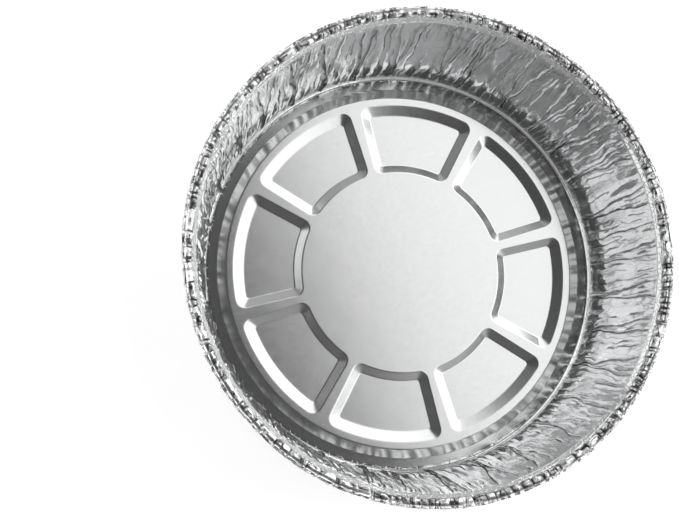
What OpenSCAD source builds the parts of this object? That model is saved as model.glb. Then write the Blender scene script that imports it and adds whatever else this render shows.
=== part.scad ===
// Deep round pie tin, pressed from one sheet of aluminium foil.
// The origin is the middle of the base, on the surface that the tin stands on, and +Z is up.

/* [Foil] */
// Thickness of the foil
foil_t = 0.12; // [0.08:0.01:0.2]

/* [Base] */
// Radius at the foot of the wall
foot_r = 95.2; // [88:0.2:110]
// Width and height of the bend between the base and the wall
foot_bend = 1.8; // [1:0.1:3]
// Width of the flat ring that the tin stands on
foot_w = 6.3; // [4:0.1:9]
// Width of the slope from the foot ring up to the raised middle of the base
step_w = 4.2; // [2:0.1:6]

/* [Pressed panels] */
// Number of panels pressed down into the raised base
panel_count = 8; // [6:1:10]
// Depth of a panel
panel_depth = 2; // [0.8:0.1:3]
// Gap between a panel and the surface that the tin stands on
panel_lift = 0.4; // [0.1:0.1:2]
// Radius of the smooth disc inside the panels
centre_r = 48.3; // [40:0.1:56]
// Width of the flat ring between the panels and the step
margin_w = 3.6; // [2:0.1:7]
// Angle that the spoke between two panels takes up
spoke_angle = 4; // [3:0.1:8]
// Width of the sloped border along a panel's outer edge
outer_border = 4.9; // [2:0.1:7]
// Width of the sloped border along a panel's inner edge
inner_border = 3.6; // [2:0.1:6]
// Width of the sloped border along a panel's two sides
side_border = 4; // [2:0.1:5]
// Radius of a panel's corners where the border begins
corner_r = 4.4; // [3:0.1:6]
// Radius of a panel's corners at the foot of the border
floor_corner_r = 1.6; // [1:0.1:3]

/* [Wall] */
// Height of the wall's top edge
wall_h = 60.6; // [45:0.2:75]
// Lean of the wall, in degrees from upright
wall_lean = 11.8; // [8:0.1:15]
// Number of creases that run down the wall
crease_count = 56; // [44:1:60]
// Width of a crease
crease_w = 1.9; // [1:0.1:2.4]
// Height of the tallest crease
crease_h = 0.9; // [0.3:0.1:1.3]
// Depth of the soft hollows between creases
hollow_h = 0.55; // [0.1:0.05:0.8]
// Depth of the short puckers just above the base
pucker_h = 0.45; // [0.1:0.05:0.7]

/* [Rim] */
// Width of the ledge outside the wall's top edge
ledge_w = 1.7; // [1:0.1:4]
// Width of the rolled bead
bead_w = 5.4; // [4.6:0.1:8]
// Height of the rolled bead
bead_h = 4.2; // [3.6:0.1:6]
// Depth of the crimps across the bead
crimp_h = 0.42; // [0.1:0.02:0.6]
// Depth of the groove along the bead, between its top and its outer edge
groove_d = 0.6; // [0.2:0.1:0.9]

/* [Hidden] */
$fn = 180;

// Base
floor_z = panel_depth + panel_lift;
foot_ring_r = foot_r - foot_bend;
foot_sheet_r = foot_ring_r + foil_t;
step_foot_r = foot_r - foot_w;
step_top_r = step_foot_r - step_w;

// Panels
panel_outer_r = step_top_r - margin_w;
panel_half_angle = 180 / panel_count - spoke_angle / 2;
join_share = foil_t / panel_depth / 2;
cut_share = 0.5;
arc_steps = 3;
corner_steps = 3;

// Wall and rim
wall_top_r = foot_r + wall_h * tan(wall_lean);
crease_angle = 360 / crease_count;
columns = 3 * crease_count;
column_angle = 360 / columns;
pucker_z = 5.4;
wall_levels = [foot_bend / wall_h, pucker_z / wall_h, 0.3, 0.64, 1];
pucker_ring = 2;
gather_ring = 3;
crease_start = 0.2;
top_crease = 0.4;
drift = 0.5;
drift_waves = 3;
groove_angle = 50;
bead_angles = [228, 165, 110, 75, groove_angle, 33, -8, -50, -100];
bead_squareness = 0.7;
crimp_shift = 5;
edge_crimp = 0.3;
bead_axis = [wall_top_r + ledge_w + bead_w / 2, wall_h + bead_h / 2];
bead_half = [(bead_w - foil_t) / 2, (bead_h - foil_t) / 2];

// Irregularities, one for each crease or column
crease_size = rands(-1, 1, crease_count, 11);
crease_reach = rands(0.5, 1.6, crease_count, 12);
crease_place = rands(-0.12, 0.12, crease_count, 13);
crease_slant = rands(-0.15, 0.15, crease_count, 14);
hollow_size = rands(-1, 1, crease_count, 15);
pucker_size = rands(0.5, 1, columns, 16);
crimp_size = rands(0.35, 1, columns, 17);
crimp_place = rands(-0.28, 0.28, columns, 18);

function polar(r, angle) = [r * cos(angle), r * sin(angle)];
function turned(p, angle) = [p.x * cos(angle) - p.y * sin(angle), p.x * sin(angle) + p.y * cos(angle)];
function signed_power(x, power) = sign(x) * pow(abs(x), power);
function mix(a, b, share) = a + (b - a) * share;
function ramp(x, from, to) = min(1, max(0, (x - from) / (to - from)));
function shifted(face, by) = [for (i = face) i + by];

// Half of one edge of a panel's outline, from the panel's middle line round the corner to its side.
// side is 1 for the outer edge and -1 for the inner one, and inset is the distance from the spoke.
function half_edge(r, inset, corner, side) =
    let (
        reach = r - side * corner,
        along = sqrt(reach * reach - (inset + corner) * (inset + corner)),
        middle = turned([along, -(inset + corner)], panel_half_angle),
        corner_angle = atan2(middle.y, middle.x),
        first = side > 0 ? corner_angle : corner_angle + 180,
        last = panel_half_angle + 90
    )
    concat(
        [for (i = [0:arc_steps]) polar(r, corner_angle * i / arc_steps)],
        [for (i = [1:corner_steps]) middle + polar(corner, mix(first, last, i / corner_steps))]
    );

// The whole edge, from one side of the panel to the other.
function edge(r, inset, corner, side) =
    let (half = half_edge(r, inset, corner, side))
    concat([for (i = [len(half) - 1:-1:1]) [half[i].x, -half[i].y]], half);

// A panel's pressed form as a closed block, its floor at floor_level and its border carried on past
// the rim of the panel by the share over, so that it cuts or joins the sheet cleanly.
module panel_block(floor_level, over) {
    share = 1 + over;
    low_out = edge(panel_outer_r - outer_border, side_border, floor_corner_r, 1);
    low_in = edge(centre_r + inner_border, side_border, floor_corner_r, -1);
    top_out = edge(panel_outer_r, 0, corner_r, 1);
    top_in = edge(centre_r, 0, corner_r, -1);
    count = len(low_out);
    high_out = [for (i = [0:count - 1]) mix(low_out[i], top_out[i], share)];
    high_in = [for (i = [0:count - 1]) mix(low_in[i], top_in[i], share)];
    high_level = floor_level + panel_depth * share;
    ring = concat([for (i = [0:count - 1]) i], [for (i = [count - 1:-1:0]) count + i]);
    above = 2 * count;
    polyhedron(
        points = concat(
            [for (p = concat(low_out, low_in)) [p.x, p.y, floor_level]],
            [for (p = concat(high_out, high_in)) [p.x, p.y, high_level]]
        ),
        faces = concat(
            [for (i = [0:count - 2]) [i, i + 1, count + i + 1, count + i]],
            [for (i = [0:count - 2]) shifted([count + i, count + i + 1, i + 1, i], above)],
            [for (i = [0:len(ring) - 1])
                let (a = ring[i], b = ring[(i + 1) % len(ring)]) [a, above + a, above + b, b]]
        )
    );
}

// All the panels' blocks, set round the base.
module panel_ring(floor_level, over) {
    for (i = [0:panel_count - 1])
        rotate([0, 0, (i + 0.5) * 360 / panel_count])
            panel_block(floor_level, over);
}

// The base before its panels are pressed: foot ring, sloped step and raised middle.
module base_sheet() {
    rotate_extrude()
        polygon([
            [0, floor_z],
            [step_top_r, floor_z],
            [step_foot_r, 0],
            [foot_sheet_r, 0],
            [foot_sheet_r, foil_t],
            [step_foot_r, foil_t],
            [step_top_r, floor_z + foil_t],
            [0, floor_z + foil_t],
        ]);
}

// The base with its panels pressed down by the thickness of the foil.
module pressed_base() {
    difference() {
        union() {
            base_sheet();
            panel_ring(panel_lift, join_share);
        }
        panel_ring(panel_lift + foil_t, cut_share);
    }
}

// A point of the bead's section, a squarish oval with a groove between its top and its outer edge.
function bead_point(a) =
    let (
        out = bead_half.x * signed_power(cos(a), bead_squareness),
        up = bead_half.y * signed_power(sin(a), bead_squareness),
        depth = a == groove_angle ? groove_d / norm([out, up]) : 0
    )
    bead_axis + [out, up] * (1 - depth);

// The section of the wall and rim, along the middle of the foil, from the edge of the foot ring.
section = concat(
    [[foot_ring_r, foil_t / 4]],
    [for (s = wall_levels) [mix(foot_r, wall_top_r, s), s * wall_h]],
    [for (a = bead_angles) bead_point(a)]
);
last_ring = len(section) - 1;
first_bead_ring = last_ring + 1 - len(bead_angles);

// The direction square to the section, towards the inside of the tin and the outside of the bead.
function square_to(from, to) = let (d = (to - from) / norm(to - from)) [-d.y, d.x];
function section_normal(k) =
    let (
        below = square_to(section[max(k, 1) - 1], section[max(k, 1)]),
        above = square_to(section[min(k, last_ring - 1)], section[min(k, last_ring - 1) + 1])
    )
    k == 0 ? [1 / above.x, 0] : (below + above) / (1 + below * above);
normals = [for (k = [0:last_ring]) section_normal(k)];

// Share of the wall's height at a ring, and 1 on the bead.
function height_share(k) = min(1, section[k].y / wall_h);

// Angle of a column where it follows its crease down the wall, three columns to a crease.
function crease_column_angle(j, k) =
    let (
        c = floor(j / 3),
        s = height_share(k),
        half_width = crease_w / 2 / section[k].x * 180 / PI,
        swing = (1 - s) * (crease_slant[c] + drift * sin(drift_waves * c * crease_angle))
    )
    crease_angle * (c + crease_place[c] + swing) + (j - 3 * c - 1) * half_width;

// Angle of a column at a ring: even at the foot, gathered into creases on the wall, crimped on the bead.
function column_direction(j, k) =
    let (even = (j - 1) * column_angle)
    k >= first_bead_ring
        ? even + crimp_place[j] * column_angle
        : k < gather_ring ? even : crease_column_angle(j, k);

// Height of the foil's own folds at a column and ring, square to the section.
function wall_fold(j, k) =
    let (
        c = floor(j / 3),
        s = height_share(k),
        size = crease_size[c],
        start = 1 - crease_reach[c],
        fade = ramp(s, start, start + crease_start) * (s < 1 ? 1 : top_crease),
        crease = j - 3 * c == 1 ? crease_h * (size + sign(size)) / 2 * fade : 0
    )
    crease + hollow_h * hollow_size[c] * sin(180 * s);
function pucker(j) = (j % 2 == 0 ? 1 : -1) * pucker_h * pucker_size[j];
function crimp(j, k) =
    (j % 2 == 0 ? 1 : -1) * crimp_h * crimp_size[(j + crimp_shift * k) % columns]
        * (k == last_ring ? edge_crimp : 1);
function fold(j, k) =
    k < pucker_ring ? 0
    : k == pucker_ring ? pucker(j)
    : k >= first_bead_ring ? crimp(j, k)
    : wall_fold(j, k);

// A point of the foil at a column and ring, offset from its middle towards the inside.
function foil_point(j, k, offset) =
    let (
        p = section[k] + normals[k] * (fold(j, k) + offset),
        flat = polar(p.x, column_direction(j, k))
    )
    [flat.x, flat.y, p.y];

// The wrinkled wall and its rolled, crimped rim, one strip of foil from the foot to the curled edge.
module wall_and_rim() {
    rings = last_ring + 1;
    outside = rings * columns;
    polyhedron(
        points = [
            for (offset = [foil_t / 2, -foil_t / 2], k = [0:last_ring], j = [0:columns - 1])
                foil_point(j, k, offset)
        ],
        faces = [
            for (j = [0:columns - 1])
                let (next = (j + 1) % columns, end = last_ring * columns)
                each concat(
                    [for (k = [0:last_ring - 1])
                        let (
                            a = k * columns + j,
                            b = k * columns + next,
                            c = (k + 1) * columns + next,
                            d = (k + 1) * columns + j
                        )
                        each [
                            [b, c, a],
                            [c, d, a],
                            shifted([a, d, c], outside),
                            shifted([a, c, b], outside)
                        ]],
                    [
                        [next, j, outside + j, outside + next],
                        [end + j, end + next, outside + end + next, outside + end + j]
                    ]
                )
        ]
    );
}

module tin() {
    color([0.82, 0.83, 0.84]) {
        pressed_base();
        wall_and_rim();
    }
}

tin();
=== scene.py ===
"""Deep round pie tin pressed from one sheet of aluminium foil, on a pale studio floor."""

import logging
import math
from dataclasses import dataclass, field

import bpy
import numpy as np
from bpy.types import ID, Material, Mesh, Node, NodeSocket, NodeTree, Object
from mathutils import Matrix, Vector
from mathutils.geometry import delaunay_2d_cdt


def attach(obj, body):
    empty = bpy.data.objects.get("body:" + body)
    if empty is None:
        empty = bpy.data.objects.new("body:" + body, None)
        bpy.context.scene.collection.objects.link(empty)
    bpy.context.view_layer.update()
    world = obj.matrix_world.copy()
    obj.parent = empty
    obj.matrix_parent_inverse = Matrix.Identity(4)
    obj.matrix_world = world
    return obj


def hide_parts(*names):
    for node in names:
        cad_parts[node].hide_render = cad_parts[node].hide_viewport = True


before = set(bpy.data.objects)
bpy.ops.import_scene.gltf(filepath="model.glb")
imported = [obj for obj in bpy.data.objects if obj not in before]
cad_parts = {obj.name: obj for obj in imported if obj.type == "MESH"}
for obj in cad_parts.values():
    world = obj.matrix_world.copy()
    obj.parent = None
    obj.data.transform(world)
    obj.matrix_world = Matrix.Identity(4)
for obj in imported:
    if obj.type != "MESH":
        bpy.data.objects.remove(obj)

MM = 0.001
CAD_NODE = "tin"
BODY = "root"
# Name of the point attribute that carries painted shade along folds, creases and grooves.
CREASE_SHADE = "crease"
FOIL = 0.12 * MM
JOIN_R = 92.8 * MM
FOOT_RING_R = 94.1 * MM
FOOT_SLOPE = 0.08

NODE_STEP = (200, -220)
NODES_IN_ROW = 24
STRIP_WELD = 1e-6
BASE_WELD = 4e-6
CREST_CURVE = 1.4
FILL_GAP = 1e-5
STRIP_SIZES = (
    *("Steep side", "Gentle side", "Gather", "Ripple size", "Ripple stretch", "Ripple seed"),
    # Crease width and Crease depth set the painted shade along the folds.
    *("Crease width", "Crease depth"),
)

Span = tuple[float, float]
Triple = tuple[float, float, float]
Array = np.ndarray
Loops = list[Array]
Faces = list[list[int]]

log = logging.getLogger("pie_tin")


class Field:
    """A node's output that takes part in arithmetic, where each step adds one Math node."""

    def __init__(self, graph: "Graph", socket: NodeSocket) -> None:
        """Takes an output of a node, and the tree that holds the node."""
        self.graph = graph
        self.socket = socket

    def __add__(self, other: "Value") -> "Field":
        """Sum."""
        return self.graph.math("ADD", self, other)

    __radd__ = __add__

    def __sub__(self, other: "Value") -> "Field":
        """Difference."""
        return self.graph.math("SUBTRACT", self, other)

    def __rsub__(self, other: "Value") -> "Field":
        """Difference."""
        return self.graph.math("SUBTRACT", other, self)

    def __mul__(self, other: "Value") -> "Field":
        """Product."""
        return self.graph.math("MULTIPLY", self, other)

    def __truediv__(self, other: "Value") -> "Field":
        """Quotient."""
        return self.graph.math("DIVIDE", self, other)

    def __rtruediv__(self, other: "Value") -> "Field":
        """Quotient."""
        return self.graph.math("DIVIDE", other, self)

    def __pow__(self, other: "Value") -> "Field":
        """Power."""
        return self.graph.math("POWER", self, other)


Value = Field | float | int | str | tuple | ID
Key = str | int
Inputs = dict[Key, Value] | None


class Graph:
    """A node tree under construction, for a shape or for a material."""

    def __init__(self, tree: NodeTree) -> None:
        """Takes the empty tree to fill."""
        self.tree = tree

    def node(self, kind: str, inputs: Inputs = None, **settings: object) -> Node:
        """Adds a node.

        Args:
            kind: the node's type name.
            inputs: values or fields for its inputs, by name or place.
            settings: the node's own properties.

        Returns:
            The node.
        """
        made = self.tree.nodes.new(kind)
        row, place = divmod(len(self.tree.nodes), NODES_IN_ROW)
        made.location = (NODE_STEP[0] * place, NODE_STEP[1] * row)
        for name, value in settings.items():
            setattr(made, name, value)
        for key, value in (inputs or {}).items():
            self.feed(made.inputs[key], value)
        return made

    def feed(self, socket: NodeSocket, value: Value) -> None:
        """Links a field to an input, or sets the input's own value.

        Args:
            socket: the input.
            value: the field or value.
        """
        if isinstance(value, Field):
            self.tree.links.new(value.socket, socket)
        else:
            socket.default_value = value

    def out(self, node: Node, key: Key = 0) -> Field:
        """Returns a node's output as a field."""
        return Field(self, node.outputs[key])

    def get(self, kind: str, inputs: Inputs = None, key: Key = 0, **settings: object) -> Field:
        """Adds a node and returns one of its outputs."""
        return self.out(self.node(kind, inputs, **settings), key)

    def math(self, operation: str, *values: Value, clamp: bool = False) -> Field:
        """Returns the result of a Math node, kept from 0 to 1 where clamp says so."""
        inputs = dict(enumerate(values))
        return self.get("ShaderNodeMath", inputs, operation=operation, use_clamp=clamp)

    def vector(self, operation: str, *values: Value) -> Field:
        """Returns the result of a Vector Math node."""
        return self.get("ShaderNodeVectorMath", dict(enumerate(values)), operation=operation)

    def scaled(self, vector: Field, factor: Value) -> Field:
        """Returns a vector times a number."""
        return self.get("ShaderNodeVectorMath", {0: vector, "Scale": factor}, operation="SCALE")

    def combined(self, x: Value, y: Value, z: Value) -> Field:
        """Returns the vector of three numbers."""
        return self.get("ShaderNodeCombineXYZ", {0: x, 1: y, 2: z})

    def parts(self, vector: Field) -> list[Field]:
        """Returns a vector's three numbers."""
        node = self.node("ShaderNodeSeparateXYZ", {0: vector})
        return [self.out(node, axis) for axis in range(3)]

    def smooth(self, value: Value, low: float, high: float) -> Field:
        """Returns 0 below low, 1 above high and a smooth step between."""
        inputs = {"Value": value, "From Min": low, "From Max": high}
        return self.get("ShaderNodeMapRange", inputs, interpolation_type="SMOOTHSTEP")

    def noise(
        self, vector: Field, scale: Value, detail: float = 2.0, roughness: float = 0.5
    ) -> Field:
        """Returns a Noise texture, whose mean is about 0.5."""
        inputs = {"Vector": vector, "Scale": scale, "Detail": detail, "Roughness": roughness}
        return self.get("ShaderNodeTexNoise", inputs)


class ShapeTree(Graph):
    """A Geometry Nodes tree with named inputs for its sizes."""

    def __init__(self, name: str) -> None:
        """Starts a tree, with its mesh input and output.

        Args:
            name: the tree's name.
        """
        super().__init__(bpy.data.node_groups.new(name, "GeometryNodeTree"))
        for way in ("INPUT", "OUTPUT"):
            self.tree.interface.new_socket("Geometry", in_out=way, socket_type="NodeSocketGeometry")
        self.entry = self.tree.nodes.new("NodeGroupInput")

    def size(self, name: str, kind: str = "Float") -> Field:
        """Adds a named input and returns its value inside the tree."""
        self.tree.interface.new_socket(name, in_out="INPUT", socket_type=f"NodeSocket{kind}")
        return Field(self, self.entry.outputs[name])

    def source(self) -> Field:
        """Returns the mesh that the tree is run on."""
        return Field(self, self.entry.outputs["Geometry"])

    def close(self, shape: Field) -> None:
        """Ends the tree.

        Args:
            shape: the geometry that comes out, once its instances are real and its material is set.
        """
        material = self.size("Material", "Material")
        real = self.get("GeometryNodeRealizeInstances", {0: shape})
        dressed = self.get("GeometryNodeSetMaterial", {"Geometry": real, "Material": material})
        self.feed(self.node("NodeGroupOutput").inputs[0], dressed)

    def grow(
        self, name: str, mesh: Mesh, sizes: dict[str, Value], foil: float, crisp: float
    ) -> Object:
        """Runs the tree on a mesh and gives the resulting sheet its thickness.

        Args:
            name: the piece's name.
            mesh: what the tree is run on.
            sizes: the tree's inputs by name.
            foil: the thickness of the sheet.
            crisp: the angle in degrees from which a fold is a sharp edge.

        Returns:
            The piece as a plain mesh, with no modifier.
        """
        carrier = linked(f"{name}_carrier", mesh)
        modifier = carrier.modifiers.new("shape", "NODES")
        modifier.node_group = self.tree
        for socket in self.tree.interface.items_tree:
            if socket.in_out == "INPUT" and socket.name in sizes:
                modifier[socket.identifier] = sizes[socket.name]
        shell = carrier.modifiers.new("foil", "SOLIDIFY")
        shell.thickness, shell.offset = foil, 0.0
        shell.use_quality_normals = True
        graph = bpy.context.evaluated_depsgraph_get()
        grown = bpy.data.meshes.new_from_object(carrier.evaluated_get(graph), depsgraph=graph)
        bpy.data.objects.remove(carrier)
        grown.name = name
        grown.shade_smooth()
        grown.set_sharp_from_angle(angle=math.radians(crisp))
        return linked(name, grown)


def linked(name: str, data: ID) -> Object:
    """Puts new data into the scene.

    Args:
        name: the object's name.
        data: its mesh, lamp or camera.

    Returns:
        The object.
    """
    made = bpy.data.objects.new(name, data)
    bpy.context.scene.collection.objects.link(made)
    return made


@dataclass(frozen=True)
class FoilFinish:
    """Bare aluminium foil: a metal with a grain from rolling, fine creases and soft dents, and
    painted shade that darkens its creases.
    """

    name: str
    tint: Triple = (0.9, 0.905, 0.91)
    haze: float = 0.2
    haze_spread: float = 0.06
    dent_size: float = 14 * MM
    dent_depth: float = 0.02 * MM
    wrinkle_size: float = 2.2 * MM
    wrinkle_depth: float = 0.03 * MM
    wrinkle_stretch: float = 0.25
    crackle_size: float = 4.5 * MM
    crackle_depth: float = 0.0
    crackle_width: float = 0.06
    crackle_bend: float = 0.7
    # Painted shade: how much the colour darkens along the fine crease net.
    painted_crackle_shade: float = 0.0
    grain_size: float = 0.35 * MM
    grain_depth: float = 0.0
    grain_stretch: float = 0.03
    grain_angle: float = math.radians(16.4)
    # Painted shade: how much the crease attribute darkens the colour.
    painted_crease_shade: float = 0.0

    def material(self) -> Material:
        """Builds the finish.

        Returns:
            The material.
        """
        made = bpy.data.materials.new(self.name)
        made.use_nodes = True
        graph = Graph(made.node_tree)
        shader = made.node_tree.nodes["Principled BSDF"]
        where = graph.get("ShaderNodeTexCoord", key="Object")
        upright = graph.vector("MULTIPLY", where, (1.0, 1.0, self.wrinkle_stretch))
        mapping = {
            "Vector": where,
            "Rotation": (0, 0, self.grain_angle),
            "Scale": (self.grain_stretch, 1, 1),
        }
        rolled = graph.get("ShaderNodeMapping", mapping)
        dents = graph.noise(where, 1 / self.dent_size, detail=1.0)
        wrinkles = graph.noise(upright, 1 / self.wrinkle_size, detail=3.0, roughness=0.55)
        grain = graph.noise(rolled, 1 / self.grain_size, roughness=0.6)
        net = self.crackle(graph, upright)
        relief = dents * self.dent_depth + wrinkles * self.wrinkle_depth + grain * self.grain_depth
        relief = relief + net * self.crackle_depth
        bump = graph.get("ShaderNodeBump", {"Height": relief, "Distance": 1.0})
        spread = (grain - 0.5) * self.haze_spread + (wrinkles - 0.5) * self.haze_spread
        # Painted shade: the strip tree stores it along the folds, and the fine crease net adds its
        # own.
        crease = graph.get("ShaderNodeAttribute", key="Fac", attribute_name=CREASE_SHADE)
        painted_shade_factor = (1.0 - crease * self.painted_crease_shade) * (1.0 - (1.0 - net) * self.painted_crackle_shade)
        graph.feed(shader.inputs["Base Color"], graph.scaled(graph.combined(*self.tint), painted_shade_factor))
        shader.inputs["Metallic"].default_value = 1
        graph.feed(shader.inputs["Roughness"], self.haze + spread)
        graph.feed(shader.inputs["Normal"], bump)
        return made

    def crackle(self, graph: Graph, where: Field) -> Field:
        """Draws a wandering net of fine creases.

        Args:
            graph: the material's tree.
            where: the place on the foil.

        Returns:
            The height, 0 on the creases and 1 between them.
        """
        sizes = {"Vector": where, "Scale": self.crackle_bend / self.crackle_size, "Detail": 3.0}
        bend = graph.get("ShaderNodeTexNoise", sizes, "Color")
        moved = graph.vector("ADD", where, graph.scaled(bend, self.crackle_size))
        cells = {"Vector": moved, "Scale": 1 / self.crackle_size}
        edge = graph.get("ShaderNodeTexVoronoi", cells, "Distance", feature="DISTANCE_TO_EDGE")
        return graph.smooth(edge, 0.0, self.crackle_width)


def rounded(corners: list[Span | Array], softness: Span, steps: int) -> Array:
    """Rounds the inner corners of an open line.

    Args:
        corners: its corners, as radius and height.
        softness: for each inner corner, how far from it the bend begins.
        steps: points along each bend, past its first.

    Returns:
        The points of the line, one in each row.
    """
    points = np.array(corners)
    line = [points[0]]
    for before, corner, after, reach in zip(points, points[1:], points[2:], softness):
        start = corner + (before - corner) / np.linalg.norm(before - corner) * reach
        end = corner + (after - corner) / np.linalg.norm(after - corner) * reach
        for t in np.linspace(0, 1, steps + 1):
            line.append((1 - t) ** 2 * start + 2 * t * (1 - t) * corner + t**2 * end)
    return np.array([*line, points[-1]])


def left_normals(line: Array) -> Array:
    """Directions square to a line, on its left.

    Args:
        line: the line's points.

    Returns:
        One unit vector for each point.
    """
    steps = np.diff(line, axis=0)
    steps /= np.linalg.norm(steps, axis=1)[:, None]
    along = np.concatenate([steps[:1], steps[1:] + steps[:-1], steps[-1:]])
    along /= np.linalg.norm(along, axis=1)[:, None]
    return np.stack([-along[:, 1], along[:, 0]], axis=1)


@dataclass
class FoldLines:
    """Folds across a strip of foil, unrolled: a row for each fold and a column for each station."""

    section: Array
    angle: Array
    ridge: Array
    lift: Array
    hollow: Array
    ripple: Array
    # Painted shade along each fold, from 0 to 1.
    tone: Array

    def mesh(self, name: str) -> Mesh:
        """Writes the folds as loose points, with the first fold again at the end.

        Args:
            name: the mesh's name.

        Returns:
            A mesh of points at (angle, radius, height), with their folds and painted shade as
            attributes.
        """
        repeats = (len(self.angle) + 1, 1)

        def around(values: Array, extra: float = 0.0) -> Array:
            """Returns the values of all lines, and the first line's again."""
            return np.concatenate([values, values[:1] + extra]).ravel()

        points = [around(self.angle, math.tau), np.tile(self.section, repeats)]
        mesh = new_mesh(name, np.column_stack(points), [])
        slope = [np.tile(left_normals(self.section), repeats), around(self.ripple)]
        fold = [around(values) for values in (self.ridge, self.lift, self.hollow)]
        # The painted shade, as a vector attribute.
        tone = [around(self.tone)] * 3
        for label, values in (("slope", slope), ("fold", fold), ("tone", tone)):
            attribute = mesh.attributes.new(label, "FLOAT_VECTOR", "POINT")
            attribute.data.foreach_set("vector", np.column_stack(values).astype(np.float32).ravel())
        return mesh


def strip_tree() -> ShapeTree:
    """Builds the tree that lofts a strip of foil across its fold lines, rolls it into a ring and
    stores the painted shade along its folds.

    Returns:
        The tree, which is run on the points of a FoldLines mesh.
    """
    tree = ShapeTree("foil_strip")
    lines, stations, columns = (tree.size(name, "Int") for name in ("Lines", "Stations", "Columns"))
    steep, gentle, gather, ripple_size, ripple_stretch, seed, crease_width, crease_depth = (
        tree.size(name) for name in STRIP_SIZES
    )

    counts = {"Vertices X": lines * columns + 1, "Vertices Y": stations}
    grid = tree.get("GeometryNodeMeshGrid", counts)
    index = tree.get("GeometryNodeInputIndex")
    column = tree.math("FLOOR", index / stations)
    station = index - column * stations
    line = tree.math("MINIMUM", tree.math("FLOOR", column / columns), lines - 1)
    even = column / columns - line
    share = even - gather * tree.math("SINE", even * math.tau) / math.tau

    def read(value: Field, place: Field) -> Field:
        """Returns a value of the tree's mesh at a point's number."""
        inputs = {"Geometry": tree.source(), "Value": value, "Index": place}
        return tree.get("GeometryNodeSampleIndex", inputs, data_type="FLOAT_VECTOR")

    def named(label: str) -> Field:
        """Returns an attribute of the mesh by its name."""
        inputs = {"Name": label}
        return tree.get("GeometryNodeInputNamedAttribute", inputs, data_type="FLOAT_VECTOR")

    here = line * stations + station
    there = here + stations
    position = tree.get("GeometryNodeInputPosition")
    angle, radius, height = tree.parts(read(position, here))
    next_angle = tree.parts(read(position, there))[0]
    out, up, ripple = tree.parts(read(named("slope"), here))
    ridge, lift, hollow = tree.parts(read(named("fold"), here))
    next_ridge, next_lift, _ = tree.parts(read(named("fold"), there))
    # The painted shade of this fold and of the next.
    tone, next_shade = (tree.parts(read(named("tone"), place))[0] for place in (here, there))

    gap = (next_angle - angle) * radius
    turn = angle + (next_angle - angle) * share

    def crest(size: Field, distance: Field, width: Field) -> Field:
        """Returns a fold's height at a distance from its line."""
        return size * tree.math("SUBTRACT", 1.0, distance / width, clamp=True) ** CREST_CURVE

    folds = crest(ridge, gap * share, gentle) + crest(next_ridge, gap * (1 - share), steep)

    def painted_line_shade(size: Field, distance: Field) -> Field:
        """Returns the painted shade of a fold at a distance from its line."""
        strength = tree.math("ABSOLUTE", size) / crease_depth
        return strength * tree.math("SUBTRACT", 1.0, distance / crease_width, clamp=True)

    # Painted shade: dark along the fold lines, joined with the shade given with each fold.
    near, far = painted_line_shade(ridge, gap * share), painted_line_shade(next_ridge, gap * (1 - share))
    drawn = tree.math("MAXIMUM", near, far)
    painted_shade = tree.math("MAXIMUM", drawn, tone + (next_shade - tone) * share, clamp=True)
    facets = lift + (next_lift - lift) * share
    dish = hollow * tree.math("SINE", share * math.pi)
    cos, sin = tree.math("COSINE", turn), tree.math("SINE", turn)
    where = tree.combined(cos * radius, sin * radius, height * ripple_stretch + seed)
    waves = (tree.noise(where, 1 / ripple_size) - 0.5) * ripple
    depth = folds + facets + dish + waves
    reach = radius + out * depth
    point = tree.combined(cos * reach, sin * reach, height + up * depth)
    # Stores the painted shade as the crease attribute.
    marks = {"Geometry": grid, "Name": CREASE_SHADE, "Value": painted_shade}
    marked = tree.get("GeometryNodeStoreNamedAttribute", marks, data_type="FLOAT", domain="POINT")
    placed = tree.get("GeometryNodeSetPosition", {"Geometry": marked, "Position": point})
    welded = tree.get("GeometryNodeMergeByDistance", {0: placed, "Distance": STRIP_WELD})
    tree.close(tree.get("GeometryNodeFlipFaces", {"Mesh": welded}))
    return tree


def base_tree() -> ShapeTree:
    """Builds the tree that sets the pressed panels into the flat of the base.

    Returns:
        The tree, which is run on the base without its panels.
    """
    tree = ShapeTree("pressed_base")
    panel, count = tree.size("Panel", "Object"), tree.size("Panels", "Int")
    tray = tree.get("GeometryNodeObjectInfo", {"Object": panel}, "Geometry")
    places = tree.get("GeometryNodePoints", {"Count": count})
    index = tree.get("GeometryNodeInputIndex")
    turn = tree.combined(0.0, 0.0, (index + 0.5) * math.tau / count)
    inputs = {"Points": places, "Instance": tray, "Rotation": turn}
    trays = tree.get("GeometryNodeInstanceOnPoints", inputs)
    real = tree.get("GeometryNodeRealizeInstances", {0: trays})
    join = tree.node("GeometryNodeJoinGeometry")
    tree.feed(join.inputs[0], tree.source())
    tree.feed(join.inputs[0], real)
    tree.close(tree.get("GeometryNodeMergeByDistance", {0: tree.out(join), "Distance": BASE_WELD}))
    return tree


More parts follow.
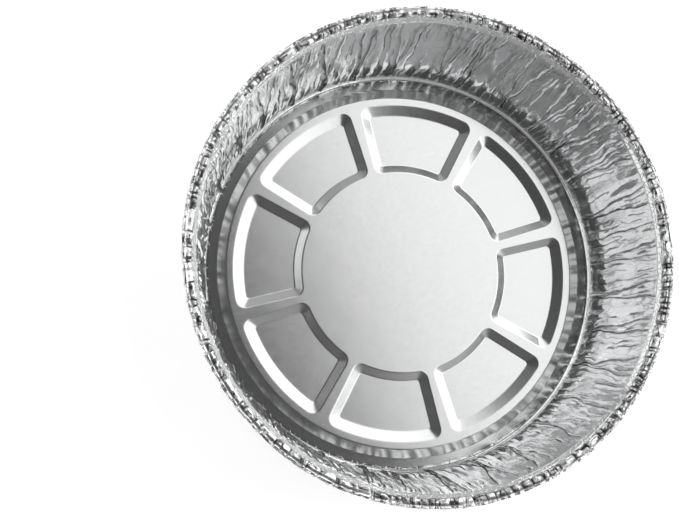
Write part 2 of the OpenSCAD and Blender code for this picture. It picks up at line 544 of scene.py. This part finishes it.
@dataclass
class Base:
    """The base: a flat disc and eight panels pressed down into it, a step and the foot ring."""

    foil: float = FOIL
    edge_r: float = JOIN_R
    step_foot_r: float = 88.9 * MM
    step_top_r: float = 84.7 * MM
    step_softness: Span = (0.45 * MM, 0.4 * MM)
    step_points: int = 5
    flat_gap: float = 1.2 * MM
    level: float = 2.0 * MM
    foot_ring_r: float = FOOT_RING_R
    foot_slope: float = FOOT_SLOPE
    panels: int = 8
    panel_lift: float = 0.75 * MM
    panel_outer_r: float = 81.1 * MM
    panel_inner_r: float = 48.3 * MM
    spoke_angle: float = math.radians(4)
    outer_border: float = 4.9 * MM
    inner_border: float = 3.6 * MM
    side_border: float = 4.0 * MM
    corner_r: float = 4.4 * MM
    floor_corner_r: float = 1.6 * MM
    crease: float = 0.09
    arc_points: int = 15
    corner_points: int = 9
    side_points: int = 7
    crease_points: int = 6
    segments: int = 720
    crisp: float = 38.0

    def half_edge(self, r: float, inset: float, corner: float, side: int) -> Loops:
        """Half of one edge of a panel, from its middle line round the corner to its side.

        Args:
            r: radius of the edge.
            inset: distance from the side of the panel.
            corner: radius of the corner.
            side: 1 for the outer edge and -1 for the inner one.

        Returns:
            The points.
        """
        half = math.pi / self.panels - self.spoke_angle / 2
        reach, off = r - side * corner, inset + corner
        middle = rotation(half) @ np.array([math.sqrt(reach**2 - off**2), -off])
        place = math.atan2(middle[1], middle[0])
        first, last = (place if side > 0 else place + math.pi), half + math.pi / 2
        arc = [polar(r, a) for a in np.linspace(0, place, self.arc_points)]
        bend = np.linspace(first, last, self.corner_points)[1:]
        return arc + [middle + polar(corner, a) for a in bend]

    def outline(self, outer: float, inner: float, inset: float, corner: float) -> Array:
        """A panel's whole outline, counterclockwise.

        Args:
            outer: radius of its outer edge.
            inner: radius of its inner edge.
            inset: distance from the sides of the panel.
            corner: radius of its corners.

        Returns:
            The points.
        """
        far = self.half_edge(outer, inset, corner, 1)
        near = self.half_edge(inner, inset, corner, -1)
        shares = np.linspace(0, 1, self.side_points)[1:-1]
        sides = [far[-1] * (1 - t) + near[-1] * t for t in shares]
        upper = far + sides + near[::-1]
        lower = [p * np.array([1, -1]) for p in (near[1:] + sides[::-1] + far[:0:-1])]
        return np.array(upper + lower)

    def panel_rings(self) -> Loops:
        """The rings of a panel's border, from the flat round it down to its floor.

        Returns:
            The rings' points, in space.
        """
        top = self.outline(self.panel_outer_r, self.panel_inner_r, 0.0, self.corner_r)
        low = self.outline(
            self.panel_outer_r - self.outer_border,
            self.panel_inner_r + self.inner_border,
            self.side_border,
            self.floor_corner_r,
        )
        e, count = self.crease, self.crease_points
        bends = (*np.linspace(-e, e, count), *np.linspace(1 - e, 1 + e, count))
        drop = self.level - self.panel_lift
        rings = []
        for share in (-2 * e, *bends, 1 + 2 * e):
            fall = min(max(share, 0.0), 1.0)
            if abs(share) < e:
                fall = (share + e) ** 2 / (4 * e)
            elif abs(share - 1) < e:
                fall = 1 - (1 + e - share) ** 2 / (4 * e)
            flat = top + (low - top) * share
            height = self.level + self.foil / 2 - drop * fall
            rings.append(np.column_stack([flat, np.full(len(flat), height)]))
        return rings

    def filled(self, loops: Loops, height: float) -> tuple[Array, Faces]:
        """Fills the flat between an outer loop and the loops within it.

        Args:
            loops: the outer loop and any holes.
            height: the level of the flat.

        Returns:
            The vertices and the triangles.
        """
        points, edges = [], []
        for loop in loops:
            first = len(points)
            points += [Vector(p[:2] / MM) for p in loop]
            edges += [(first + i, first + (i + 1) % len(loop)) for i in range(len(loop))]
        verts, _, faces, *_ = delaunay_2d_cdt(points, edges, [], 1, FILL_GAP)
        flat = np.array([[v.x, v.y] for v in verts]) * MM
        holes = [loop[:, 0] + 1j * loop[:, 1] for loop in loops[1:]]
        kept = []
        for face in faces:
            centre = complex(*flat[list(face)].mean(axis=0))
            if not any(inside(centre, hole) for hole in holes):
                kept.append(list(face))
        return np.column_stack([flat, np.full(len(flat), height)]), kept

    def capped(self, name: str, rings: Loops, holes: Loops) -> Mesh:
        """Lofts rings and fills the flat within the last one.

        Args:
            name: the mesh's name.
            rings: the rings' points, from the outermost inwards.
            holes: loops in the flat that stay open.

        Returns:
            The mesh.
        """
        verts, faces = ring_loft(rings)
        flat, middle = self.filled([rings[-1], *holes], rings[-1][0, 2])
        faces += [[len(verts) + i for i in face] for face in middle]
        return new_mesh(name, np.concatenate([verts, flat]), faces)

    def sheet_mesh(self) -> Mesh:
        """Makes the base without its panels.

        Returns:
            The mesh.
        """
        floor = self.foil / 2
        top = self.level + floor
        radii = (self.edge_r, self.step_foot_r)
        foot = [(r, floor + (self.foot_ring_r - r) * self.foot_slope) for r in radii]
        corners = [*foot, (self.step_top_r, top), (self.step_top_r - self.flat_gap, top)]
        profile = rounded(corners, self.step_softness, self.step_points)
        turns = np.linspace(0, math.tau, self.segments, endpoint=False)
        around = np.column_stack([np.cos(turns), np.sin(turns)])
        rings = [np.column_stack([r * around, np.full(len(turns), z)]) for r, z in profile]
        hole = self.panel_rings()[0][:, :2]
        places = [(i + 0.5) * math.tau / self.panels for i in range(self.panels)]
        return self.capped("base_sheet", rings, [hole @ rotation(a).T for a in places])

    def build(self, material: Material) -> Object:
        """Builds the base.

        Args:
            material: its finish.

        Returns:
            The piece.
        """
        tray = linked("panel_tray", self.capped("panel", self.panel_rings(), []))
        sizes = {"Panel": tray, "Panels": self.panels, "Material": material}
        piece = base_tree().grow("tin_base", self.sheet_mesh(), sizes, self.foil, self.crisp)
        bpy.data.objects.remove(tray)
        return piece


def polar(radius: float, angle: float) -> Array:
    """Returns the point at a radius and angle."""
    return radius * np.array([math.cos(angle), math.sin(angle)])


def rotation(angle: float) -> Array:
    """Returns the matrix that turns a flat point by an angle."""
    return np.array([[math.cos(angle), -math.sin(angle)], [math.sin(angle), math.cos(angle)]])


def inside(point: complex, loop: Array) -> bool:
    """Tells whether a loop goes round a point, both as complex numbers."""
    return abs(np.angle(np.roll(loop - point, -1) / (loop - point)).sum()) > math.pi


def ring_loft(rings: Loops) -> tuple[Array, Faces]:
    """Joins closed rings, which run counterclockwise from the outermost inwards, facing up.

    Args:
        rings: the rings' points.

    Returns:
        The vertices and the faces.
    """
    count = len(rings[0])
    faces = []
    for k in range(len(rings) - 1):
        for j in range(count):
            a, b = k * count + j, k * count + (j + 1) % count
            faces.append([a, b, b + count, a + count])
    return np.concatenate(rings), faces


def new_mesh(name: str, verts: Array, faces: Faces) -> Mesh:
    """Makes a mesh.

    Args:
        name: its name.
        verts: its vertices.
        faces: its faces, as lists of vertices.

    Returns:
        The mesh.
    """
    mesh = bpy.data.meshes.new(name)
    mesh.from_pydata(verts.tolist(), [], faces)
    mesh.update()
    return mesh


def smooth_rows(rng: np.random.Generator, lines: int, stations: int, knots: int) -> Array:
    """Random values that change smoothly along each line.

    Args:
        rng: the source of random numbers.
        lines: number of lines.
        stations: number of stations along a line.
        knots: number of random values that a line passes through.

    Returns:
        Values from about -1 to 1, a row for each line.
    """
    places = np.linspace(0, knots - 1, stations)
    values = rng.uniform(-1, 1, (lines, knots))
    low = np.minimum(places.astype(int), knots - 2)
    t = places - low
    t = t * t * (3 - 2 * t)
    return values[:, low] * (1 - t) + values[:, low + 1] * t


def smoothstep(x: Array, low: Array | float, high: Array | float) -> Array:
    """Returns 0 before low, 1 past high and a smooth step between, for low above high too."""
    t = np.clip((x - low) / (high - low), 0, 1)
    return t * t * (3 - 2 * t)


@dataclass
class FoilStrip:
    """A strip of foil with folds across it, rolled into a ring."""

    foil: float = FOIL
    wall_height: float = 60.6 * MM
    lean: float = math.radians(11.8)
    top_gap: float = 0.5 * MM
    steep_side: float = 0.9 * MM
    gentle_side: float = 0.9 * MM
    gather: float = 0.7
    ripple: float = 0.08 * MM
    ripple_size: float = 1.4 * MM
    ripple_stretch: float = 1.0
    ripple_seed: float = 5.3
    # Width of the painted shade along each fold, and the fold height at which that shade is full.
    crease_width: float = 0.6 * MM
    crease_depth: float = 0.6 * MM
    crisp: float = 16.0
    bend_points: int = 3
    columns: int = 3
    seed: int = 21

    def folds(self) -> FoldLines:
        """Lays out the strip's folds, each kind of strip in its own way."""
        raise NotImplementedError

    def grow(self, name: str, tree: ShapeTree, material: Material) -> Object:
        """Lofts the strip across its folds.

        Args:
            name: which part of the tin it is.
            tree: the tree that lofts a strip of foil.
            material: its finish.

        Returns:
            The piece.
        """
        folds = self.folds()
        lines, stations = folds.angle.shape
        sizes = {size: getattr(self, size.lower().replace(" ", "_")) for size in STRIP_SIZES}
        sizes |= {"Lines": lines, "Stations": stations, "Columns": self.columns}
        sizes["Material"] = material
        mesh = folds.mesh(f"{name}_folds")
        return tree.grow(f"tin_{name}", mesh, sizes, self.foil, self.crisp)


@dataclass
class Wall(FoilStrip):
    """The leaning wall: smooth at its foot, gathered higher up into forked pleats and creases."""

    start_r: float = JOIN_R
    foot_ring_r: float = FOOT_RING_R
    foot_slope: float = FOOT_SLOPE
    foot_r: float = 95.2 * MM
    foot_bend: float = 1.1 * MM
    foot_softness: Span = (0.35 * MM, 0.5 * MM)
    foot_lean: float = math.radians(4.5)
    knee: Span = (4 * MM, 27 * MM)
    bow_steps: int = 200
    rows: int = 30

    forks: int = 33
    fork_shift: float = 0.16
    fork_meet: Span = (0.28, 0.52)
    fork_width: float = 8.0 * MM
    fork_spread: Span = (0.55, 1.2)
    fork_curve: float = 0.8
    fork_sway: tuple[Span, ...] = ((8, 0.8 * MM), (16, 0.3 * MM))
    trunk_width: float = 1.5 * MM
    inner_creases: int = 2
    outer_creases: int = 5
    arm_drift: float = 0.15 * MM
    inner_drift: float = 0.1 * MM
    outer_drift: float = 0.5 * MM
    drift_knots: int = 17

    calm_foot: Span = (0.02, 0.045)
    calm_top: Span = (0.995, 0.97)
    flame_top: Span = (0.1, 0.32)
    flame_fade: float = 0.3
    pleat_depth: float = 0.27 * MM
    pleat_sizes: Span = (0.3, 1.0)
    facet_depth: float = 0.2 * MM
    facet_knots: int = 9
    facet_start: Span = (0.03, 0.16)
    low_facets: float = 0.9
    low_part: Span = (0.55, 0.38)

    arm_height: float = 0.85 * MM
    crease_height: float = 0.5 * MM
    crease_sizes: Span = (0.5, 1.1)
    raised_share: float = 0.5
    dash_knots: int = 8
    dash_edge: Span = (-0.05, 0.3)
    foot_dash: float = 0.5
    uneven: float = 0.5
    uneven_knots: int = 20
    hollow: float = 0.08 * MM
    hollow_knots: int = 6
    ripple_start: Span = (0.05, 0.25)

    # Painted shade: a dark line along the fold at the foot ring, and dark tongues up from the foot.
    painted_foot_shade: float = 0.8
    bend_edge: Span = (0.3 * MM, 0.1 * MM)
    painted_tongue_shade: float = 0.42
    tongue_top: Span = (0.25, 0.68)
    tongue_fade: float = 0.5
    short_tongue: float = 0.5

    steep_side: float = 0.4 * MM
    gentle_side: float = 1.0 * MM
    gather: float = 0.75
    ripple: float = 0.07 * MM
    ripple_size: float = 3.4 * MM
    ripple_stretch: float = 0.12
    ripple_seed: float = 1.7
    crease_width: float = 0.4 * MM
    crease_depth: float = 0.85 * MM
    crisp: float = 24.0
    columns: int = 4
    seed: int = 7

    def section(self) -> Array:
        """The wall's bowed section, from the foot ring to just under its top edge.

        Returns:
            The points, as radius and height.
        """
        slope, floor = math.tan(self.lean), self.foil / 2
        top_z = self.wall_height - self.top_gap
        start = (self.start_r, floor + (self.foot_ring_r - self.start_r) * self.foot_slope)
        bend = (self.foot_r + self.foot_bend * slope, self.foot_bend)
        top = (self.foot_r + top_z * slope, top_z)
        corners = [start, (self.foot_ring_r, floor), bend, top]
        line = rounded(corners, self.foot_softness, self.bend_points)
        tall = np.linspace(0, 1, self.rows + 1)[1:-1, None]
        line = np.concatenate([line[:-1], line[-2] * (1 - tall) + line[-1] * tall, line[-1:]])
        heights = np.linspace(self.foot_bend, top_z, self.bow_steps)
        flare = smoothstep(heights, *self.knee)
        steps = np.diff(heights) * (flare[1:] + flare[:-1]) / 2
        opened = np.concatenate([[0], np.cumsum(steps)])
        straight = (heights - self.foot_bend) * slope
        low = (heights - self.foot_bend) * math.tan(self.foot_lean)
        run = low + opened / opened[-1] * (straight[-1] - low[-1])
        line[:, 0] += np.interp(line[:, 1], heights, run - straight)
        return line

    def folds(self) -> FoldLines:
        """Lays out the pleats.

        Returns:
            The fold lines: for each fork its two arms, the creases between them and those up to
            the next fork.
        """
        rng = np.random.default_rng(self.seed)
        section = self.section()
        radius, share = section[:, 0], np.clip(section[:, 1] / self.wall_height, 0, 1)
        stations, inner, outer = len(section), self.inner_creases, self.outer_creases
        lines = (inner + outer + 2) * self.forks
        fork, kind = np.divmod(np.arange(lines), inner + outer + 2)
        arm = (kind == 0) | (kind == inner + 1)

        shift = rng.uniform(-self.fork_shift, self.fork_shift, self.forks)
        middle = (np.arange(self.forks) + shift) * math.tau / self.forks
        meet = rng.uniform(*self.fork_meet, self.forks)[:, None]
        width = self.fork_width * rng.uniform(*self.fork_spread, self.forks)[:, None]
        opened = np.clip((share - meet) / (1 - meet), 0, 1) ** self.fork_curve
        half = (self.trunk_width + opened * width) / radius / 2
        sway = np.zeros_like(half)
        for knots, size in self.fork_sway:
            sway += smooth_rows(rng, self.forks, stations, knots) * size
        centre = middle[:, None] + sway / radius
        left, right = centre - half, centre + half
        following = np.roll(left, -1, axis=0)
        following[-1] += math.tau
        within = (kind / (inner + 1))[:, None]
        beyond = ((kind - inner - 1) / (outer + 1))[:, None]
        place = np.where(
            within < 1,
            left[fork] * (1 - within) + right[fork] * within,
            right[fork] * (1 - beyond) + following[fork] * beyond,
        )
        drift = np.where(kind <= inner, self.inner_drift, self.outer_drift)
        drift = np.where(arm, self.arm_drift, drift)[:, None]
        loose = smooth_rows(rng, lines, stations, self.drift_knots) * drift
        place = np.sort(place + loose / radius, axis=0)

        calm = smoothstep(share, *self.calm_foot) * smoothstep(share, *self.calm_top)
        flame = rng.uniform(*self.flame_top, lines)[:, None]
        foot = 1 - smoothstep(share, flame, flame + self.flame_fade)
        turn = np.where(np.arange(lines) % 2 == 0, 1.0, -1.0)[:, None]
        pleats = turn * foot * self.pleat_depth * rng.uniform(*self.pleat_sizes, lines)[:, None]
        low = self.low_facets * smoothstep(share, *self.low_part)
        crumple = smoothstep(share, *self.facet_start) * (1 + low)
        facets = smooth_rows(rng, lines, stations, self.facet_knots) * self.facet_depth * crumple
        lift = (pleats + facets) * calm

        dash = smoothstep(smooth_rows(rng, lines, stations, self.dash_knots), *self.dash_edge)
        raised = arm | (rng.uniform(0, 1, lines) < self.raised_share)
        loud = np.where(arm, self.arm_height, self.crease_height) * np.where(raised, 1.0, -1.0)
        loud = loud * rng.uniform(*self.crease_sizes, lines)
        drawn = np.where(arm[:, None], 1.0, np.maximum(dash, self.foot_dash * foot))
        uneven = 1 + self.uneven * smooth_rows(rng, lines, stations, self.uneven_knots)
        ridge = loud[:, None] * drawn * calm * uneven
        hollow = self.hollow * smooth_rows(rng, lines, stations, self.hollow_knots) * calm
        ripple = self.ripple * calm * smoothstep(share, *self.ripple_start)

        # Painted shade along the foot fold and in tongues up from the foot.
        bend = smoothstep(np.abs(radius - self.foot_ring_r), *self.bend_edge)
        tip = rng.uniform(*self.tongue_top, lines)[:, None]
        tip = tip * np.where(turn > 0, 1.0, self.short_tongue)
        tongue_shade = (1 - smoothstep(share, self.tongue_fade * tip, tip)) * calm
        tone = np.maximum(self.painted_foot_shade * bend, self.painted_tongue_shade * tongue_shade)
        ripples = np.broadcast_to(ripple, ridge.shape)
        return FoldLines(section, place, ridge, lift, hollow, ripples, tone)


@dataclass
class Rim(FoilStrip):
    """The rim: a narrow ledge and the edge of the foil rolled into a crimped bead."""

    wall_top_r: float = 107.86 * MM
    ledge: float = 1.7 * MM
    ledge_rise: float = 0.9 * MM
    ledge_softness: Span = (0.4 * MM, 0.35 * MM)
    root_gap: float = 0.05 * MM
    bead_width: float = 5.4 * MM
    bead_height: float = 4.2 * MM
    bead_angles: tuple[int, ...] = (
        *(186, 175, 165, 155, 143, 128, 112, 98, 84, 72, 62, 55),
        *(50, 45, 38, 30, 18, 4, -12, -30, -50, -75, -100),
    )
    inner_squareness: float = 0.8
    outer_squareness: float = 0.6
    groove_angle: float = 82.0
    groove_spread: float = 8.0
    groove_depth: float = 0.6 * MM
    groove_place: float = 8.1 * MM
    # Painted shade: a broken dark line at the groove's place.
    groove_edge: Span = (0.6 * MM, 0.15 * MM)
    groove_breaks: Span = (-0.5, 0.0)
    groove_knots: int = 150
    painted_groove_shade: float = 0.9

    free_part: Span = (2.0 * MM, 2.8 * MM)
    bead_start: Span = (2.3 * MM, 3.0 * MM)
    bead_split: Span = (6.8 * MM, 7.6 * MM)
    outer_share: float = 0.4

    crimps: int = 390
    crimp_gaps: Span = (0.35, 1.65)
    crimp_sizes: Span = (0.2, 1.0)
    crimp_height: float = 0.7 * MM
    crimp_shares: Span = (0.7, 0.25)
    rough_shares: Span = (0.8, 0.4)
    rough_knots: int = 14
    flip_share: float = 0.7
    sway: float = 0.55 * MM
    sway_knots: int = 6
    bulge: float = 0.18
    # Painted shade in the crimps' hollows, where the crimps dip lowest.
    hollow_shade_edge: Span = (0.54, 0.62)
    nip_depth: float = 1.0 * MM
    bar_share: float = 0.45
    bar_sizes: Span = (0.5, 1.0)
    bar_ends: Span = (-1.2, 0.1)

    def section(self) -> Array:
        """The rim's section, from just under the wall's top edge round to the curled end.

        Returns:
            The points, as radius and height.
        """
        corner = np.array([self.wall_top_r, self.wall_height])
        start = corner - self.top_gap * np.array([math.tan(self.lean), 1])
        axis = corner + np.array([self.ledge + self.bead_width / 2, self.bead_height / 2])
        angles = np.array(self.bead_angles)
        turns = np.radians(angles)
        cos, sin = np.cos(turns), np.sin(turns)
        half = np.array([self.bead_width - self.foil, self.bead_height - self.foil]) / 2
        power = np.where(cos < 0, self.inner_squareness, self.outer_squareness)
        arm = np.stack([np.sign(way) * np.abs(way) ** power for way in (cos, sin)], 1) * half
        far = (angles - self.groove_angle) / self.groove_spread
        dip = self.groove_depth * np.exp(-(far**2))
        arm *= (1 - dip / np.linalg.norm(arm, axis=1))[:, None]
        bead = axis + arm
        root = (bead[0, 0] - self.root_gap, self.wall_height + self.ledge_rise)
        lead = rounded([start, corner, root, bead[0]], self.ledge_softness, self.bend_points)
        return np.concatenate([lead[:-1], bead])

    def folds(self) -> FoldLines:
        """Lays out the crimps.

        Returns:
            The fold lines across the bead.
        """
        rng = np.random.default_rng(self.seed)
        section = self.section()
        crimps, stations = self.crimps, len(section)
        steps = rng.uniform(*self.crimp_gaps, crimps)
        place = np.cumsum(steps) / steps.sum() * math.tau
        lengths = np.linalg.norm(np.diff(section, axis=0), axis=1)
        along = np.concatenate([[0], np.cumsum(lengths)])
        free = smoothstep(along, *self.free_part)
        outer = smoothstep(along, *self.bead_split)
        inner = smoothstep(along, *self.bead_start) * smoothstep(along, *self.bead_split[::-1])
        marked = inner + self.outer_share * outer

        sway = smooth_rows(rng, crimps, stations, self.sway_knots) * self.sway / section[:, 0]
        flip = np.cumprod(np.where(rng.uniform(0, 1, crimps) < self.flip_share, -1.0, 1.0))
        size = (flip * rng.uniform(*self.crimp_sizes, crimps))[:, None]
        rough = smooth_rows(rng, crimps, stations, self.rough_knots)
        even, uneven = (a * inner + b * outer for a, b in (self.crimp_shares, self.rough_shares))
        waves = size * even + rough * uneven
        # Painted shade in the crimps' hollows.
        dents = smoothstep(-waves, *self.hollow_shade_edge) * marked
        lift = self.crimp_height * np.minimum(waves, self.bulge)
        bars = rng.uniform(*self.bar_sizes, crimps)
        bars = bars * (rng.uniform(0, 1, crimps) < self.bar_share)
        nips = -self.nip_depth * bars[:, None] * smoothstep(rough, *self.bar_ends) * marked * free

        # Painted shade: a broken dark line along the groove, joined with the hollows' shade.
        breaks = smooth_rows(rng, stations, crimps, self.groove_knots).T
        groove_shade = smoothstep(np.abs(along - self.groove_place), *self.groove_edge)
        groove_shade = groove_shade * smoothstep(breaks, *self.groove_breaks)
        tone = np.maximum(dents, self.painted_groove_shade * groove_shade)
        angle = place[:, None] + sway * free
        ripple = np.broadcast_to(self.ripple * free, lift.shape)
        return FoldLines(section, angle, nips, lift * free, np.zeros_like(lift), ripple, tone)


@dataclass
class Softbox:
    """A plain rectangular soft light that looks at the tin, with its angles in degrees."""

    name: str
    compass: float
    from_zenith: float
    width: float
    height: float
    glow: float
    distance: float = 2.5

    def build(self) -> None:
        """Builds the lamp, so bright that its face has the radiance glow."""
        turn, lean = math.radians(self.compass), math.radians(self.from_zenith)
        away = Vector((*(math.sin(lean) * polar(1.0, turn)), math.cos(lean)))
        light = bpy.data.lights.new(self.name, "AREA")
        light.shape = "RECTANGLE"
        light.size = 2 * math.tan(math.radians(self.width) / 2) * self.distance
        light.size_y = 2 * math.tan(math.radians(self.height) / 2) * self.distance
        light.energy = self.glow * math.pi * light.size * light.size_y
        lamp = linked(self.name, light)
        lamp.location = away * self.distance
        lamp.rotation_euler = away.to_track_quat("Z", "Y").to_euler()


@dataclass
class Studio:
    """The floor, lamps, world and camera."""

    floor_size: float = 8.0
    floor_tone: float = 0.9
    floor_haze: float = 0.9
    floor_sheen: float = 0.2
    floor_glow: float = 0.62
    grain_scale: float = 300.0
    grain_tone: float = 0.01
    sky_tone: float = 0.06
    sky_edge: Span = (0.73, 0.98)
    side_tone: float = 0.37
    side_slope: float = 0.25
    camera_place: Triple = (-0.28227, -0.06522, 1.01325)
    camera_forward: Triple = (0.24394, 0.07580, -0.96682)
    camera_up: Triple = (0.25072, 0.95812, 0.13838)
    lens: float = 116.6
    boxes: tuple[Softbox, ...] = (
        Softbox("overhead", 7.0, 24.7, 48.0, 23.0, 0.95),
        Softbox("right", 13.0, 50.0, 62.0, 28.0, 1.12),
        Softbox("left", 150.0, 45.0, 56.0, 40.0, 0.66),
        Softbox("back", 103.0, 72.0, 52.0, 30.0, 0.7),
        Softbox("front", -54.0, 76.0, 44.0, 26.0, 0.9),
    )

    def floor(self) -> Object:
        """Builds the floor.

        Returns:
            The floor's object.
        """
        half = self.floor_size / 2
        corners = np.array([[-half, -half, 0], [half, -half, 0], [half, half, 0], [-half, half, 0]])
        mesh = new_mesh("floor", corners, [[0, 1, 2, 3]])
        made = bpy.data.materials.new("floor_paper")
        made.use_nodes = True
        graph = Graph(made.node_tree)
        paper = made.node_tree.nodes["Principled BSDF"]
        where = graph.get("ShaderNodeTexCoord", key="Object")
        tone = self.floor_tone + (graph.noise(where, self.grain_scale) - 0.5) * self.grain_tone
        graph.feed(paper.inputs["Base Color"], graph.combined(tone, tone, tone))
        paper.inputs["Roughness"].default_value = self.floor_haze
        paper.inputs["Specular IOR Level"].default_value = self.floor_sheen
        path = graph.node("ShaderNodeLightPath")
        kinds = ("Is Camera Ray", "Is Glossy Ray", "Is Transmission Ray")
        camera, glossy, through = (graph.out(path, kind) for kind in kinds)
        seen = graph.math("MAXIMUM", camera, graph.math("MAXIMUM", glossy, through))
        light = {"Color": (1, 1, 1, 1), "Strength": seen * self.floor_glow}
        glow = graph.get("ShaderNodeEmission", light)
        both = graph.get("ShaderNodeAddShader", {0: graph.out(paper), 1: glow})
        graph.feed(made.node_tree.nodes["Material Output"].inputs["Surface"], both)
        mesh.materials.append(made)
        return linked("studio_floor", mesh)

    def world(self) -> None:
        """Sets the world's light and the view transform."""
        world = bpy.data.worlds.new("studio")
        world.use_nodes = True
        graph = Graph(world.node_tree)
        across, _, height = graph.parts(graph.get("ShaderNodeTexCoord", key="Generated"))
        side = self.side_tone + across * self.side_slope
        tone = side + (self.sky_tone - side) * graph.smooth(height, *self.sky_edge)
        sky = world.node_tree.nodes["Background"]
        graph.feed(sky.inputs["Color"], graph.combined(tone, tone, tone))
        bpy.context.scene.world = world
        bpy.context.scene.view_settings.view_transform = "Standard"

    def camera(self) -> None:
        """Builds the camera."""
        data = bpy.data.cameras.new("camera")
        data.lens = self.lens
        made = linked("camera", data)
        back = -Vector(self.camera_forward).normalized()
        right = Vector(self.camera_up).cross(back).normalized()
        up = back.cross(right)
        turn = Matrix((right, up, back)).transposed().to_4x4()
        made.matrix_world = Matrix.Translation(self.camera_place) @ turn
        bpy.context.scene.camera = made

    def build(self) -> None:
        """Builds the studio."""
        self.floor()
        for box in self.boxes:
            box.build()
        self.world()
        self.camera()


@dataclass
class PieTin:
    """The whole tin: its base, wall and rim, which are one sheet of foil."""

    base: Base = field(default_factory=Base)
    wall: Wall = field(default_factory=Wall)
    rim: Rim = field(default_factory=Rim)
    base_finish: FoilFinish = FoilFinish(
        "satin_foil", haze=0.18, wrinkle_depth=0.0, grain_depth=0.004 * MM
    )
    wall_finish: FoilFinish = FoilFinish(
        "wall_foil",
        haze=0.12,
        dent_size=9 * MM,
        dent_depth=0.25 * MM,
        wrinkle_depth=0.004 * MM,
        wrinkle_stretch=0.13,
        crackle_size=4 * MM,
        crackle_depth=0.025 * MM,
        painted_crackle_shade=0.1,
        painted_crease_shade=0.85,
    )
    rim_finish: FoilFinish = FoilFinish(
        "rim_foil",
        tint=(0.97, 0.975, 0.98),
        haze=0.06,
        wrinkle_stretch=1.0,
        wrinkle_size=1.0 * MM,
        wrinkle_depth=0.015 * MM,
        crackle_size=2.6 * MM,
        crackle_depth=0.05 * MM,
        painted_crease_shade=0.97,
        painted_crackle_shade=0.15,
    )

    def build(self) -> list[Object]:
        """Builds the pieces.

        Returns:
            The pieces.
        """
        tree = strip_tree()
        return [
            self.base.build(self.base_finish.material()),
            self.wall.grow("wall", tree, self.wall_finish.material()),
            self.rim.grow("rim", tree, self.rim_finish.material()),
        ]

    def dress(self, pieces: list[Object]) -> None:
        """Ties the pieces to the part's body and hides the imported part's node.

        Args:
            pieces: the pieces.
        """
        for piece in pieces:
            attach(piece, BODY)
            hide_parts(CAD_NODE)


def main() -> None:
    """Builds the tin and the studio, and reports each piece."""
    logging.basicConfig(level=logging.INFO, format="%(name)s: %(message)s")
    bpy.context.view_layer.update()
    tin = PieTin()
    pieces = tin.build()
    tin.dress(pieces)
    for piece in pieces:
        triangles = sum(len(face.vertices) - 2 for face in piece.data.polygons)
        log.info("%s: %d triangles", piece.name, triangles)
    Studio().build()


if __name__ == "__main__":
    main()
